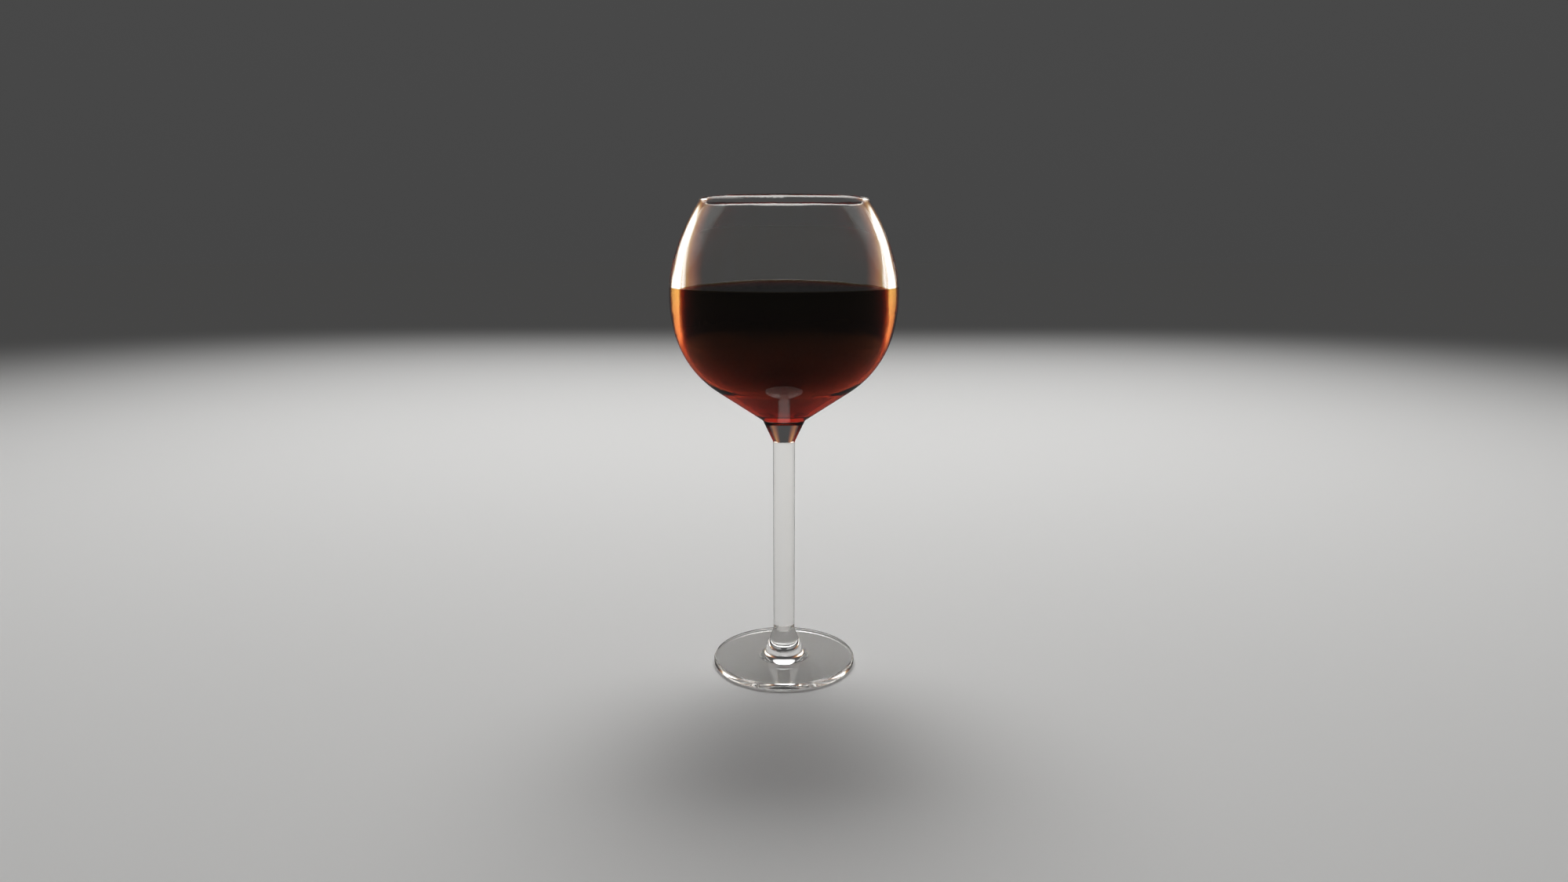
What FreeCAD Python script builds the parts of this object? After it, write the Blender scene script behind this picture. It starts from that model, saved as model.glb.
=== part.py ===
# A balloon-shaped glass of red wine: the blown glass, and the wine that stands in its bowl.
#
# Lengths are in millimetres and angles in degrees. The part stands on the XY plane with +Z up,
# and its origin is at the middle of the foot's underside. Both pieces are turned about Z, so
# each is a half outline in the XZ plane, where a point is a radius and a height.
import FreeCAD, Part
import os
import re
import Sketcher

# Every size that can be set by itself. Heights are measured from the foot's underside.
SIZES = [
    ("overall_height", 205.0, "underside of the foot to the top of the rim"),
    ("foot_diameter", 63.4, "the flat disc that the glass stands on"),
    ("foot_thickness", 3.1, "thickness of that disc"),
    ("foot_edge_round", 0.9, "rounding of the disc's upper and lower edge"),
    ("flare_diameter", 19.0, "lower flare, where it would meet the disc without its blend"),
    ("flare_height", 15.8, "top of the lower flare, where the stem begins"),
    ("flare_blend", 4.0, "hollow blend between the lower flare and the disc"),
    ("stem_low_diameter", 9.4, "stem at its lower end"),
    ("stem_high_diameter", 9.6, "stem at its upper end"),
    ("stem_end_blend", 1.2, "blend at each end of the stem"),
    ("neck_length", 9.4, "upper flare, from the stem to the bowl"),
    ("neck_diameter", 18.6, "upper flare where it meets the bowl"),
    ("neck_blend", 1.0, "blend where the upper flare meets the bowl"),
    ("bowl_height", 93.4, "meeting of neck and bowl to the top of the rim"),
    ("cone_angle", 33.8, "lower bowl above the horizontal, where it is a straight cone"),
    ("cone_length", 23.5, "length of that cone along its slope"),
    ("hip_pull", 8.0, "how far the curve above the cone keeps the cone's direction"),
    ("bowl_diameter", 96.9, "widest part of the bowl"),
    ("shoulder_height", 39.6, "widest part of the bowl to the top of the rim"),
    ("belly_pull", 25.0, "how far the curve stays upright below the widest part"),
    ("shoulder_pull", 12.0, "how far the curve stays upright above the widest part"),
    ("rim_pull", 14.6, "how far the curve below the rim keeps the rim's direction"),
    ("rim_diameter", 68.4, "crest of the rounded rim"),
    ("rim_lean", 31.9, "inward lean of the wall at the rim, from the vertical"),
    ("rim_wall", 2.9, "wall at the rim"),
    ("belly_wall", 4.2, "wall at the widest part of the hollow"),
    ("cone_wall", 1.8, "wall along the straight cone"),
    ("hollow_drop", 7.1, "widest part of the hollow below the widest part of the bowl"),
    ("hollow_hip_pull", 3.4, "the same pulls for the hollow: above the cone"),
    ("hollow_belly_pull", 22.6, "below the widest part"),
    ("hollow_shoulder_pull", 26.5, "above the widest part"),
    ("hollow_rim_pull", 7.2, "below the rim"),
    ("hollow_floor", 3.5, "thickness of solid glass under the hollow, above the neck"),
    ("hollow_floor_blend", 3.0, "rounding of the hollow's floor"),
    ("wine_depth", 37.0, "surface of the wine below the top of the rim"),
]

SHEET = "Sizes"
PIN_ORIGIN = (-1, 1)
START, END, CENTRE = 1, 2, 3
CURVE_DEGREE = 3
EDGE_TOLERANCE = 0.01


def make_sheet(doc):
    """Put the named sizes in a spreadsheet, with the name, value and note of each in a row."""
    sheet = doc.addObject("Spreadsheet::Sheet", SHEET)
    for row, (name, value, note) in enumerate(SIZES, start=1):
        sheet.set(f"A{row}", name)
        sheet.set(f"B{row}", str(value))
        sheet.set(f"C{row}", note)
        sheet.setAlias(f"B{row}", name)
    doc.recompute()


def from_sheet(expression):
    """The same expression, with each named size read from its cell."""
    names = "|".join(name for name, _, _ in SIZES)
    return re.sub(rf"\b({names})\b", rf"{SHEET}.\1", expression)


def value_of(owner, expression):
    """What an expression of named sizes is worth now."""
    return float(owner.evalExpression(from_sheet(expression)))


def along(start, angle, reach):
    """The point a reach away from another, in a direction measured up from the horizontal."""
    return (f"{start[0]} + ({reach}) * cos({angle})", f"{start[1]} + ({reach}) * sin({angle})")


# The outline's points, as expressions of the named sizes.
FOOT_CENTRE = ("0", "0")
FOOT_LOW = ("foot_diameter / 2", "0")
FOOT_HIGH = ("foot_diameter / 2", "foot_thickness")
FLARE_FOOT = ("flare_diameter / 2", "foot_thickness")
STEM_LOW = ("stem_low_diameter / 2", "flare_height")
BOWL_BASE = ("neck_diameter / 2", "overall_height - bowl_height")
STEM_HIGH = ("stem_high_diameter / 2", f"{BOWL_BASE[1]} - neck_length")

CONE_TOP = along(BOWL_BASE, "cone_angle", "cone_length")
HIP = along(CONE_TOP, "cone_angle", "hip_pull")
WIDEST = ("bowl_diameter / 2", "overall_height - shoulder_height")
BELLY = (WIDEST[0], f"{WIDEST[1]} - belly_pull")
SHOULDER = (WIDEST[0], f"{WIDEST[1]} + shoulder_pull")

RIM_CENTRE = ("rim_diameter / 2", "overall_height - rim_wall / 2")
RIM_OUTER = along(RIM_CENTRE, "rim_lean", "rim_wall / 2")
RIM_INNER = along(RIM_CENTRE, "rim_lean", "-rim_wall / 2")
UNDER_RIM = along(RIM_OUTER, "rim_lean - 90", "rim_pull")
HOLLOW_UNDER_RIM = along(RIM_INNER, "rim_lean - 90", "hollow_rim_pull")

HOLLOW_WIDEST = ("bowl_diameter / 2 - belly_wall", f"{WIDEST[1]} - hollow_drop")
HOLLOW_SHOULDER = (HOLLOW_WIDEST[0], f"{HOLLOW_WIDEST[1]} + hollow_shoulder_pull")
HOLLOW_BELLY = (HOLLOW_WIDEST[0], f"{HOLLOW_WIDEST[1]} - hollow_belly_pull")
HOLLOW_CONE_TOP = along(CONE_TOP, "cone_angle + 90", "cone_wall")
HOLLOW_HIP = along(HOLLOW_CONE_TOP, "cone_angle", "hollow_hip_pull")
FLOOR_HEIGHT = f"{BOWL_BASE[1]} + hollow_floor"
FLOOR_CENTRE = ("0", FLOOR_HEIGHT)
FLOOR_EDGE = (
    f"{HOLLOW_CONE_TOP[0]} - ({HOLLOW_CONE_TOP[1]} - ({FLOOR_HEIGHT})) / tan(cone_angle)",
    FLOOR_HEIGHT,
)

WINE_LEVEL = "overall_height - wine_depth"

# Runs of an outline: two points make a line, four a curve that the middle two steer.
OUTER_RUNS = [
    [FOOT_CENTRE, FOOT_LOW],
    [FOOT_LOW, FOOT_HIGH],
    [FOOT_HIGH, FLARE_FOOT],
    [FLARE_FOOT, STEM_LOW],
    [STEM_LOW, STEM_HIGH],
    [STEM_HIGH, BOWL_BASE],
    [BOWL_BASE, CONE_TOP],
    [CONE_TOP, HIP, BELLY, WIDEST],
    [WIDEST, SHOULDER, UNDER_RIM, RIM_OUTER],
]
# Three points make an arc, with its centre in the middle.
RIM_RUN = [RIM_OUTER, RIM_CENTRE, RIM_INNER]
HOLLOW_RUNS = [
    [RIM_INNER, HOLLOW_UNDER_RIM, HOLLOW_SHOULDER, HOLLOW_WIDEST],
    [HOLLOW_WIDEST, HOLLOW_BELLY, HOLLOW_HIP, HOLLOW_CONE_TOP],
    [HOLLOW_CONE_TOP, FLOOR_EDGE],
    [FLOOR_EDGE, FLOOR_CENTRE],
]


def new_sketch(body, name):
    """A sketch on the body's own XZ plane."""
    sketch = body.newObject("Sketcher::SketchObject", name)
    plane = next(item for item in body.Origin.OriginFeatures if item.Role == "XZ_Plane")
    sketch.AttachmentSupport = [(plane, "")]
    sketch.MapMode = "FlatFace"
    return sketch


def pin(sketch, geometry, place, point):
    """Hold a point of a sketch at a radius and a height that are bound to the sheet."""
    for kind, expression in zip(("DistanceX", "DistanceY"), point):
        value = value_of(sketch, expression)
        constraint = Sketcher.Constraint(kind, *PIN_ORIGIN, geometry, place, value)
        index = sketch.addConstraint(constraint)
        sketch.setExpression(f"Constraints[{index}]", from_sheet(expression))


def add_run(sketch, run):
    """Add one run to a sketch, and pin what steers it. Its own ends are pinned by the caller."""
    spots = [FreeCAD.Vector(*(value_of(sketch, part) for part in point), 0) for point in run]
    if len(run) == 2:
        return sketch.addGeometry(Part.LineSegment(*spots))
    if len(run) == 3:
        first, centre, last = spots
        circle = Part.Circle(centre, FreeCAD.Vector(0, 0, 1), (first - centre).Length)
        arc = Part.ArcOfCircle(circle, circle.parameter(first), circle.parameter(last))
        return sketch.addGeometry(arc)
    curve = Part.BSplineCurve()
    ends = CURVE_DEGREE + 1
    curve.buildFromPolesMultsKnots(spots, [ends, ends], [0, 1], False, CURVE_DEGREE)
    geometry = sketch.addGeometry(curve)
    sketch.exposeInternalGeometry(geometry)
    for steer in (1, 2):
        pin(sketch, geometry + 1 + steer, CENTRE, run[steer])
    return geometry


def draw_outline(body, name, runs):
    """Draw a closed outline, whose runs each begin where the one before ends."""
    sketch = new_sketch(body, name)
    drawn = [add_run(sketch, run) for run in runs]
    for before, after, run in zip(drawn[-1:] + drawn, drawn, runs):
        sketch.addConstraint(Sketcher.Constraint("Coincident", before, END, after, START))
        pin(sketch, after, START, run[0])
    return sketch


def turn(body, name, kind, sketch):
    """Turn a sketch right round the Z axis, to add or to cut away."""
    feature = body.newObject(f"PartDesign::{kind}", name)
    feature.Profile = sketch
    feature.ReferenceAxis = (sketch, ["V_Axis"])
    feature.Angle = 360
    body.Document.recompute()
    return feature


def blend(body, name, size, corners):
    """Round the ring-shaped edges that pass through the outline's named corners."""
    base = body.Tip
    chosen = []
    for radius, height in corners:
        wanted = (value_of(base, radius), value_of(base, height))
        for number, edge in enumerate(base.Shape.Edges, start=1):
            curve = edge.Curve
            if not isinstance(curve, Part.Circle):
                continue
            found = (curve.Radius, curve.Center.z)
            if all(abs(a - b) < EDGE_TOLERANCE for a, b in zip(found, wanted)):
                chosen.append(f"Edge{number}")
    if len(chosen) != len(corners):
        raise RuntimeError(f"{name}: found {len(chosen)} of {len(corners)} edges")
    feature = body.newObject("PartDesign::Fillet", name)
    feature.Base = (base, chosen)
    feature.setExpression("Radius", from_sheet(size))
    body.Document.recompute()


def make_glass(doc):
    """The blown glass: foot, stem and bowl in one piece, hollow down to the bowl's floor."""
    body = doc.addObject("PartDesign::Body", "GlassBody")
    body.Label = "glass"
    doc.recompute()
    middle = [FLOOR_CENTRE, FOOT_CENTRE]
    outline = draw_outline(body, "GlassOutline", [*OUTER_RUNS, RIM_RUN, *HOLLOW_RUNS, middle])
    turn(body, "GlassTurned", "Revolution", outline)
    blend(body, "FootEdges", "foot_edge_round", [FOOT_LOW, FOOT_HIGH])
    blend(body, "FlareBlend", "flare_blend", [FLARE_FOOT])
    blend(body, "StemBlends", "stem_end_blend", [STEM_LOW, STEM_HIGH])
    blend(body, "NeckBlend", "neck_blend", [BOWL_BASE])
    blend(body, "FloorBlend", "hollow_floor_blend", [FLOOR_EDGE])
    return body


def make_wine(doc):
    """The wine: all that the bowl's hollow holds, cut off level at the wine's surface."""
    body = doc.addObject("PartDesign::Body", "WineBody")
    body.Label = "wine"
    doc.recompute()
    mouth_centre = ("0", RIM_INNER[1])
    closing = [[FLOOR_CENTRE, mouth_centre], [mouth_centre, RIM_INNER]]
    outline = draw_outline(body, "HollowOutline", [*HOLLOW_RUNS, *closing])
    turn(body, "HollowTurned", "Revolution", outline)
    blend(body, "FloorBlend", "hollow_floor_blend", [FLOOR_EDGE])
    surface = ("0", WINE_LEVEL)
    edge = ("bowl_diameter / 2", WINE_LEVEL)
    above_edge = ("bowl_diameter / 2", "overall_height")
    above = ("0", "overall_height")
    corners = [surface, edge, above_edge, above]
    empty = draw_outline(body, "EmptyOutline", list(zip(corners, corners[1:] + corners[:1])))
    turn(body, "EmptyCut", "Groove", empty)
    return body


def check_document(doc):
    """Stop if any object of the document failed."""
    failed = [item.Name for item in doc.Objects if {"Invalid", "Error"} & set(item.State)]
    if failed:
        raise RuntimeError(f"failed objects: {failed}")


def check_piece(body):
    """Stop if a piece isn't one valid solid."""
    shape = body.Shape
    if shape.isNull() or not shape.isValid() or len(shape.Solids) != 1:
        raise RuntimeError(f"{body.Label} isn't one valid solid")


def main():
    """Build the document, check it, and write each piece to its own file."""
    doc = FreeCAD.newDocument("GlassOfRedWine")
    make_sheet(doc)
    pieces = [make_glass(doc), make_wine(doc)]
    doc.recompute()
    check_document(doc)
    for body in pieces:
        check_piece(body)
    os.makedirs("parts", exist_ok=True)
    for body in pieces:
        body.Placement = FreeCAD.Placement()
        body.Shape.exportStep(f"parts/{body.Label}.step")
        box = body.Shape.BoundBox
        print(f"{body.Label}: {body.Shape.Volume / 1000:.2f} ml, {box.XLength:.2f} x {box.YLength:.2f}"
              f" x {box.ZLength:.2f} mm, from z {box.ZMin:.2f} to {box.ZMax:.2f}")


main()
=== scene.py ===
"""The looks of a stemmed glass of red wine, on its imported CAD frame. Lengths are in metres."""
import math

import bmesh
import bpy
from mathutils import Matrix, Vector


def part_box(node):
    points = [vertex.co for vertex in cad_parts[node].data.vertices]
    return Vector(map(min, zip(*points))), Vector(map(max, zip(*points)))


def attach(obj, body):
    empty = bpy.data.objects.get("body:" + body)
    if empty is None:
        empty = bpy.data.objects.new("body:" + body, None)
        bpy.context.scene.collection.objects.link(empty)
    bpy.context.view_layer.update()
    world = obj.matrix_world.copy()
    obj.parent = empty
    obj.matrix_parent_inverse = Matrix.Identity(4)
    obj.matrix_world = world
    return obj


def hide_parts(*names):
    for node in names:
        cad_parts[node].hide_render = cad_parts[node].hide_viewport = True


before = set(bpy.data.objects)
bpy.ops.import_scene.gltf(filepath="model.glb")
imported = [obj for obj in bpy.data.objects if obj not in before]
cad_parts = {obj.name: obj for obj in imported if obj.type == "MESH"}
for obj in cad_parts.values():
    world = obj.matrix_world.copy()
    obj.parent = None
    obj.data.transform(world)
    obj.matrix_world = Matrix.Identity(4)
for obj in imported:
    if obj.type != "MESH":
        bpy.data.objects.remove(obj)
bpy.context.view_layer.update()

# The camera: its level distance from the glass's axis, its height, its downward tilt and its lens.
CAMERA_DISTANCE = 0.40895
CAMERA_HEIGHT = 0.1852
CAMERA_TILT = math.radians(11.48)
SENSOR_WIDTH = 36.0
LENS = 21.95

# Glass: faint waves in its surface, and streaks drawn out along its height.
GLASS_IOR = 1.5
WAVE_SCALE = 60
WAVE_HEIGHT = 0.000004
STREAK_SCALE = (260, 260, 9)
STREAK_COLOURS = [(0.35, (1, 1, 1)), (0.75, (0.985, 0.975, 0.95))]

# Wine: how closely the heights down its wall are told apart, how far it reaches into the glass's
# wall, and how it climbs the wall at its edge.
HEIGHT_DIGITS = 6
INTO_WALL = 0.00035
MENISCUS_RISE = 0.0004
MENISCUS_FADE = 0.0011
MENISCUS_WIDTH = 0.0066
MENISCUS_POINTS = 14
TURN_STEPS = 256

# Wine's looks: its gloss, which shows only where its surface is level, how it takes up light over
# its depth, and its tint from its floor up to its surface, which is its own red with a painted
# glow:
# deep red at its floor, paler and yellowish towards its surface. Its IOR of 1 keeps the bright
# edge that the glass's wall has beside it.
WINE_IOR = 1.0
WINE_GLOSS_IOR = 1.33
WINE_GLOSS = 0.25
WINE_GLOSS_SLOPES = (0.9, 0.98)
WINE_ABSORPTION = (0.95, 0.5, 0.0)
WINE_DENSITY = 1500
WINE_RED_WITH_PAINTED_GLOW = [(0, (0.7, 0.09, 0.06)), (0.5, (0.75, 0.24, 0.15)), (1, (0.5, 0.52, 0.28))]

# The stage: a matt pale floor in a dim studio, which is a little lighter overhead.
FLOOR_RADIUS = 12.0
FLOOR_GAP = 0.0002
FLOOR_STEPS = 96
FLOOR_COLOUR = (0.79, 0.785, 0.775)
FLOOR_ROUGHNESS = 0.6
STUDIO_LEVEL = 0.06
STUDIO_TOP = 0.084

# How often light may turn within the glass. With few turns, the foot's edge goes black.
LIGHT_TURNS = 24

# The key light: over and behind the glass, so that the wine's shadow falls in front of the foot.
KEY_PLACE = (0, 1.2, 1.6)
KEY_TARGET = (0, 0.45, 0)
KEY_SIZE = (2.0, 1.4)
KEY_POWER = 8.0
KEY_SPREAD = math.radians(60)

# Two soft panels behind the glass, which light its edges. Each has its turn from straight behind
# and its power.
PANELS = {
    "left_panel": (math.radians(-38), 3.4),
    "right_panel": (math.radians(38), 3.1),
}
PANEL_DISTANCE = 0.8
PANEL_HEIGHT = 0.25
PANEL_TARGET = (0, 0, 0.15)
PANEL_SIZE = (0.75, 0.6)
WIDEST_SPREAD = math.radians(180)

# Over a panel, X and Y run from 0 to 1. Its light is full up to these distances from its middle,
# and fades through amber and red to black at its border.
PANEL_MIDDLE = (0.5, 0.5, 0)
PANEL_BORDER = 0.5
PANEL_FULL = {"X": 0.16, "Y": 0.2}
PANEL_COLOURS = [
    (0, (0, 0, 0)),
    (0.22, (0.05, 0.011, 0.003)),
    (0.45, (0.14, 0.05, 0.012)),
    (0.65, (0.25, 0.14, 0.04)),
    (1, (1, 0.98, 0.93)),
]


def wine_wall():
    """The wine's outline down the glass's wall, as (radius, height) points from its CAD node."""
    widths = {}
    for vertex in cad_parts["wine"].data.vertices:
        height = round(vertex.co.z, HEIGHT_DIGITS)
        widths[height] = max(widths.get(height, 0), vertex.co.xy.length)
    return [Vector((widths[height], height)) for height in sorted(widths, reverse=True)]


def wine_outline():
    """The wine's half outline, from mid-surface out to its risen edge and down to its floor."""
    wall = wine_wall()
    level = wall[0].y
    risen = wall[0] + Vector((0, MENISCUS_RISE))
    line = [risen, *wall[1:], Vector((0, wall[-1].y))]
    sunk = []
    for before, point, after in zip(line[:1] + line, line, line[1:] + line[-1:]):
        along = (after - before).normalized()
        sunk.append(point + INTO_WALL * Vector((-along.y, along.x)))
    surface = [Vector((0, level))]
    # The points crowd towards the wall, where the surface climbs.
    for step in range(MENISCUS_POINTS):
        away = MENISCUS_WIDTH * (1 - step / MENISCUS_POINTS) ** 2
        rise = MENISCUS_RISE * math.exp(-away / MENISCUS_FADE)
        surface.append(Vector((sunk[0].x - away, level + rise)))
    return surface + sunk


def turned(name, outline, steps):
    """A smooth piece turned about Z from a half outline of (radius, height) points."""
    mesh = bmesh.new()
    rings = []
    for radius, height in outline:
        count = steps if radius > 0 else 1
        angles = [math.tau * step / steps for step in range(count)]
        points = [(radius * math.cos(angle), radius * math.sin(angle), height) for angle in angles]
        rings.append([mesh.verts.new(point) for point in points])
    for ring, following in zip(rings, rings[1:]):
        for step in range(steps):
            corners = [ring[step % len(ring)], ring[(step + 1) % len(ring)]]
            corners += [following[(step + 1) % len(following)], following[step % len(following)]]
            mesh.faces.new(dict.fromkeys(corners))
    bmesh.ops.recalc_face_normals(mesh, faces=mesh.faces)
    data = bpy.data.meshes.new(name)
    mesh.to_mesh(data)
    mesh.free()
    data.shade_smooth()
    piece = bpy.data.objects.new(name, data)
    bpy.context.scene.collection.objects.link(piece)
    return piece


def set_inputs(tree, node, values):
    """Sets a node's inputs by name or number, each as a value or a link from another's output."""
    for name, value in values.items():
        if isinstance(value, bpy.types.NodeSocket):
            tree.links.new(value, node.inputs[name])
        else:
            node.inputs[name].default_value = value


def add_node(tree, kind, values, output=0, **properties):
    """Adds a node with its inputs and properties, and gives one of its outputs."""
    node = tree.nodes.new(f"ShaderNode{kind}")
    for name, value in properties.items():
        setattr(node, name, value)
    set_inputs(tree, node, values)
    return node.outputs[output]


def add_ramp(tree, factor, stops):
    """Adds a colour ramp over a factor, from (place, colour) stops, and gives its colour."""
    colour = add_node(tree, "ValToRGB", {"Fac": factor}, "Color")
    elements = colour.node.color_ramp.elements
    for place, _ in stops[1:-1]:
        elements.new(place)
    for element, (place, rgb) in zip(elements, stops):
        element.position = place
        element.color = (*rgb, 1)
    return colour


def new_material(name):
    """A new material and its node tree."""
    material = bpy.data.materials.new(name)
    material.use_nodes = True
    return material, material.node_tree


def glass_material():
    """Clear glass with faint waves in its surface and faint drawn streaks."""
    material, tree = new_material("clear_glass")
    place = add_node(tree, "TexCoord", {}, "Object")
    waves = add_node(tree, "TexNoise", {"Vector": place, "Scale": WAVE_SCALE}, "Fac")
    stretched = add_node(tree, "Mapping", {"Vector": place, "Scale": STREAK_SCALE})
    streaks = add_node(tree, "TexNoise", {"Vector": stretched, "Scale": 1}, "Fac")
    set_inputs(tree, tree.nodes["Principled BSDF"], {
        "Base Color": add_ramp(tree, streaks, STREAK_COLOURS),
        "Normal": add_node(tree, "Bump", {"Height": waves, "Distance": WAVE_HEIGHT}),
        "Transmission Weight": 1,
        "Roughness": 0,
        "IOR": GLASS_IOR,
    })
    return material


def wine_material():
    """Deep red wine: near black in depth, ruby and amber where it is thin, glossy on top, its tint
    a painted glow, deep red low down and yellowish near its surface.
    """
    material, tree = new_material("red_wine")
    lowest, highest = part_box("wine")
    place = add_node(tree, "TexCoord", {}, "Object")
    height = add_node(tree, "SeparateXYZ", {0: place}, "Z")
    heights = {"From Min": lowest[2], "From Max": highest[2]}
    # The wine's height, from its floor to its surface, sets a painted glow in its tint: deep red
    # low down, yellowish towards the top.
    painted_glow_height = add_node(tree, "MapRange", {"Value": height, **heights})
    facing = add_node(tree, "NewGeometry", {}, "Normal")
    upward = add_node(tree, "SeparateXYZ", {0: facing}, "Z")
    steep, level = WINE_GLOSS_SLOPES
    slopes = {"From Min": steep, "From Max": level}
    gloss = add_node(tree, "MapRange", {"Value": upward, **slopes, "To Max": WINE_GLOSS})
    set_inputs(tree, tree.nodes["Principled BSDF"], {
        "Base Color": add_ramp(tree, painted_glow_height, WINE_RED_WITH_PAINTED_GLOW),
        "Transmission Weight": 1,
        "Roughness": 0,
        "IOR": WINE_IOR,
        "Coat Weight": gloss,
        "Coat IOR": WINE_GLOSS_IOR,
    })
    uptake = {"Color": (*WINE_ABSORPTION, 1), "Density": WINE_DENSITY}
    body = add_node(tree, "VolumeAbsorption", uptake)
    set_inputs(tree, tree.nodes["Material Output"], {"Volume": body})
    return material


def floor_material():
    """A matt pale floor."""
    material, tree = new_material("pale_floor")
    set_inputs(tree, tree.nodes["Principled BSDF"], {
        "Base Color": (*FLOOR_COLOUR, 1),
        "Roughness": FLOOR_ROUGHNESS,
        "Specular IOR Level": 0,
    })
    return material


def add_camera():
    """The camera, in front of the glass."""
    data = bpy.data.cameras.new("camera")
    data.sensor_width = SENSOR_WIDTH
    data.lens = LENS
    camera = bpy.data.objects.new("camera", data)
    camera.location = (0, -CAMERA_DISTANCE, CAMERA_HEIGHT)
    camera.rotation_euler = (math.pi / 2 - CAMERA_TILT, 0, 0)
    bpy.context.scene.collection.objects.link(camera)
    bpy.context.scene.camera = camera


def add_lamp(name, place, target, size, power, spread):
    """A soft light that the camera doesn't see."""
    data = bpy.data.lights.new(name, "AREA")
    data.shape = "RECTANGLE"
    data.size, data.size_y = size
    data.energy = power
    data.spread = spread
    lamp = bpy.data.objects.new(name, data)
    lamp.location = place
    lamp.rotation_euler = (Vector(target) - Vector(place)).to_track_quat("-Z", "Y").to_euler()
    lamp.visible_camera = False
    bpy.context.scene.collection.objects.link(lamp)
    return lamp


def add_panel(name, turn, power):
    """A feathered panel behind the glass, which is seen only through it."""
    place = (PANEL_DISTANCE * math.sin(turn), PANEL_DISTANCE * math.cos(turn), PANEL_HEIGHT)
    lamp = add_lamp(name, place, PANEL_TARGET, PANEL_SIZE, power, WIDEST_SPREAD)
    lamp.visible_diffuse = False
    lamp.visible_glossy = False
    lamp.data.use_nodes = True
    tree = lamp.data.node_tree
    spot = add_node(tree, "NewGeometry", {}, "Parametric")
    centred = add_node(tree, "VectorMath", {0: spot, 1: PANEL_MIDDLE}, operation="SUBTRACT")
    away = add_node(tree, "VectorMath", {0: centred}, operation="ABSOLUTE")
    fades = []
    for axis, full in PANEL_FULL.items():
        distance = add_node(tree, "SeparateXYZ", {0: away}, axis)
        reach = {"From Min": PANEL_BORDER, "From Max": full}
        fades.append(add_node(tree, "MapRange", {"Value": distance, **reach}))
    both = add_node(tree, "Math", dict(enumerate(fades)), operation="MULTIPLY")
    set_inputs(tree, tree.nodes["Emission"], {"Color": add_ramp(tree, both, PANEL_COLOURS)})


def add_studio():
    """The dim neutral studio round the stage."""
    world = bpy.data.worlds.new("studio")
    world.use_nodes = True
    tree = world.node_tree
    way = add_node(tree, "TexCoord", {}, "Generated")
    height = add_node(tree, "SeparateXYZ", {0: way}, "Z")
    levels = {"To Min": STUDIO_LEVEL, "To Max": STUDIO_TOP}
    light = add_node(tree, "MapRange", {"Value": height, **levels})
    set_inputs(tree, tree.nodes["Background"], {"Color": (1, 1, 1, 1), "Strength": light})
    bpy.context.scene.world = world


def set_rendering():
    """Plain colours, and enough turns for light to find its way out of the glass."""
    scene = bpy.context.scene
    scene.view_settings.view_transform = "Standard"
    scene.cycles.max_bounces = LIGHT_TURNS
    scene.cycles.glossy_bounces = LIGHT_TURNS
    scene.cycles.transmission_bounces = LIGHT_TURNS


add_camera()

# The floor and the key light aren't reflected, as through a polarising filter. The floor's pale
# reflection would turn the dark wine grey, and the key light's would draw a line across it.
floor = turned("floor", [(0, -FLOOR_GAP), (FLOOR_RADIUS, -FLOOR_GAP)], FLOOR_STEPS)
floor.data.materials.append(floor_material())
floor.visible_glossy = False

set_rendering()
add_studio()
key = add_lamp("key", KEY_PLACE, KEY_TARGET, KEY_SIZE, KEY_POWER, KEY_SPREAD)
key.visible_glossy = False
for name, (turn, power) in PANELS.items():
    add_panel(name, turn, power)

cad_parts["glass"].data.materials[0] = glass_material()

wine = turned("wine_in_bowl", wine_outline(), TURN_STEPS)
wine.data.materials.append(wine_material())
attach(wine, "root")
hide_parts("wine")
